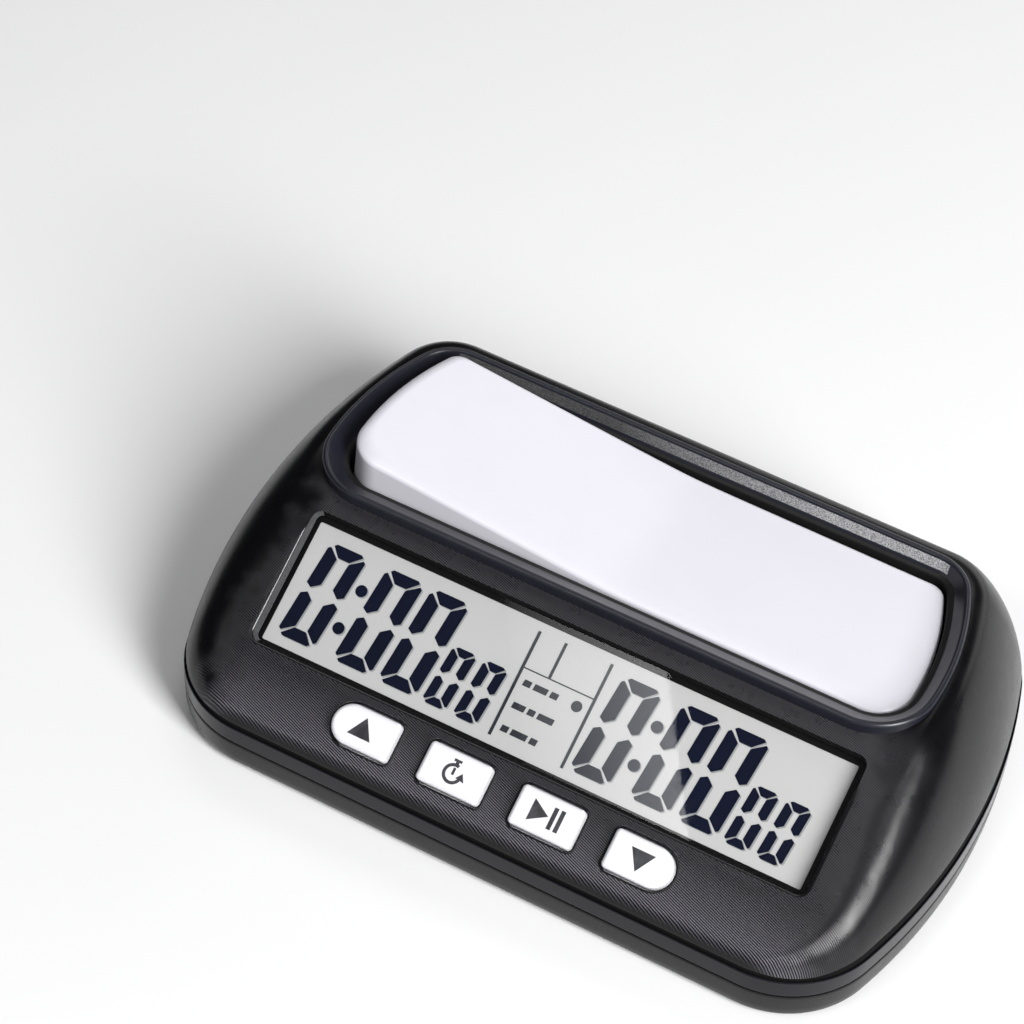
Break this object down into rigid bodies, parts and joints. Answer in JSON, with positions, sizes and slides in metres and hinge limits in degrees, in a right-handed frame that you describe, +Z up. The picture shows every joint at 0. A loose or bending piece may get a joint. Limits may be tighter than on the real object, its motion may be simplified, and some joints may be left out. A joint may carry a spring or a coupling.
{
  "type": "chess clock",
  "caption": "Digital chess clock: wedge-shaped black housing with a see-saw rocker on top, a wide display under a clear window, push keys below it and a cell bay underneath",
  "frame": {"origin": "on the table under the middle of the housing", "axes": "+X to the right seen from the display side, +Y to the back, +Z up"},
  "size_m": [0.137, 0.088, 0.0371],
  "materials": {
    "housing_black": "fine moulded texture on the panel and top, satin elsewhere",
    "rocker_white": "satin",
    "key_white": "satin",
    "lens_clear": "polished clear plastic",
    "lcd_glass": "smooth light grey",
    "inner_black": "moulded",
    "component_black": "moulded",
    "plunger_white": "smooth",
    "conductive_rubber": "soft",
    "board_green": "solder mask",
    "steel": "plain",
    "rubber_black": "soft matt",
    "brass": "plain",
    "cell_wrap": "shrink sleeve",
    "lead_red": "soft sleeve",
    "lead_black": "soft sleeve",
    "ribbon_grey": "flat cable"
  },
  "bodies": {
    "case": {"upper_housing": "housing_black", "lower_housing": "housing_black", "lcd_lens": "lens_clear", "lcd_cell": "lcd_glass", "lcd_frame": "inner_black", "rocker_cradle": "inner_black", "board_standoff_1": "inner_black", "board_standoff_2": "inner_black", "controller_chip": "component_black", "capacitor": "component_black", "switch_body_left": "component_black", "switch_body_right": "component_black", "key_switch_up": "component_black", "key_switch_reset": "component_black", "key_switch_play": "component_black", "key_switch_down": "component_black", "zebra_strip": "conductive_rubber", "main_board": "board_green", "switch_board": "board_green", "crystal": "steel", "rocker_shaft": "steel", "battery_spring": "steel", "board_screw_1": "steel", "cradle_screw_1": "steel", "board_screw_2": "steel", "cradle_screw_2": "steel", "housing_screw_1": "steel", "foot_1": "rubber_black", "housing_screw_2": "steel", "foot_2": "rubber_black", "housing_screw_3": "steel", "foot_3": "rubber_black", "housing_screw_4": "steel", "foot_4": "rubber_black", "battery_contact": "brass", "sounder": "brass", "battery_cell": "cell_wrap", "lead_red": "lead_red", "lead_black": "lead_black", "board_ribbon": "ribbon_grey"},
    "rocker": {"rocker": "rocker_white"},
    "switch_plunger_left": {"switch_plunger_left": "plunger_white"},
    "switch_plunger_right": {"switch_plunger_right": "plunger_white"},
    "battery_door": {"battery_door": "housing_black"},
    "key_up": {"key_up": "key_white", "key_stem_up": "component_black"},
    "key_reset": {"key_reset": "key_white", "key_stem_reset": "component_black"},
    "key_play": {"key_play": "key_white", "key_stem_play": "component_black"},
    "key_down": {"key_down": "key_white", "key_stem_down": "component_black"}
  },
  "joints": [
    {"name": "rocker_tilt", "type": "hinge", "parent": "case", "child": "rocker", "pos_m": [0, 0.0151, 0.0265], "axis": [0, -1, 0], "range_deg": [0, 7.34]},
    {"name": "left_plunger", "type": "slide", "parent": "case", "child": "switch_plunger_left", "axis": [0, 0, 1], "range_m": [-0.00156, 0]},
    {"name": "right_plunger", "type": "slide", "parent": "case", "child": "switch_plunger_right", "axis": [0, 0, 1], "range_m": [0, 0.00156]},
    {"name": "press_up", "type": "slide", "parent": "case", "child": "key_up", "axis": [0, 0.4726, -0.8813], "range_m": [0, 0.001], "stiffness_N_per_m": 800, "springref_m": -0.0005},
    {"name": "press_reset", "type": "slide", "parent": "case", "child": "key_reset", "axis": [0, 0.4726, -0.8813], "range_m": [0, 0.001], "stiffness_N_per_m": 800, "springref_m": -0.0005},
    {"name": "press_play", "type": "slide", "parent": "case", "child": "key_play", "axis": [0, 0.4726, -0.8813], "range_m": [0, 0.001], "stiffness_N_per_m": 800, "springref_m": -0.0005},
    {"name": "press_down", "type": "slide", "parent": "case", "child": "key_down", "axis": [0, 0.4726, -0.8813], "range_m": [0, 0.001], "stiffness_N_per_m": 800, "springref_m": -0.0005},
    {"name": "battery_door_slide", "type": "slide", "parent": "case", "child": "battery_door", "axis": [0, 1, 0], "range_m": [0, 0.022]}
  ],
  "couplings": [
    {"joint": "left_plunger", "follows": "rocker_tilt", "m_per_rad": -0.012},
    {"joint": "right_plunger", "follows": "rocker_tilt", "m_per_rad": 0.012}
  ]
}
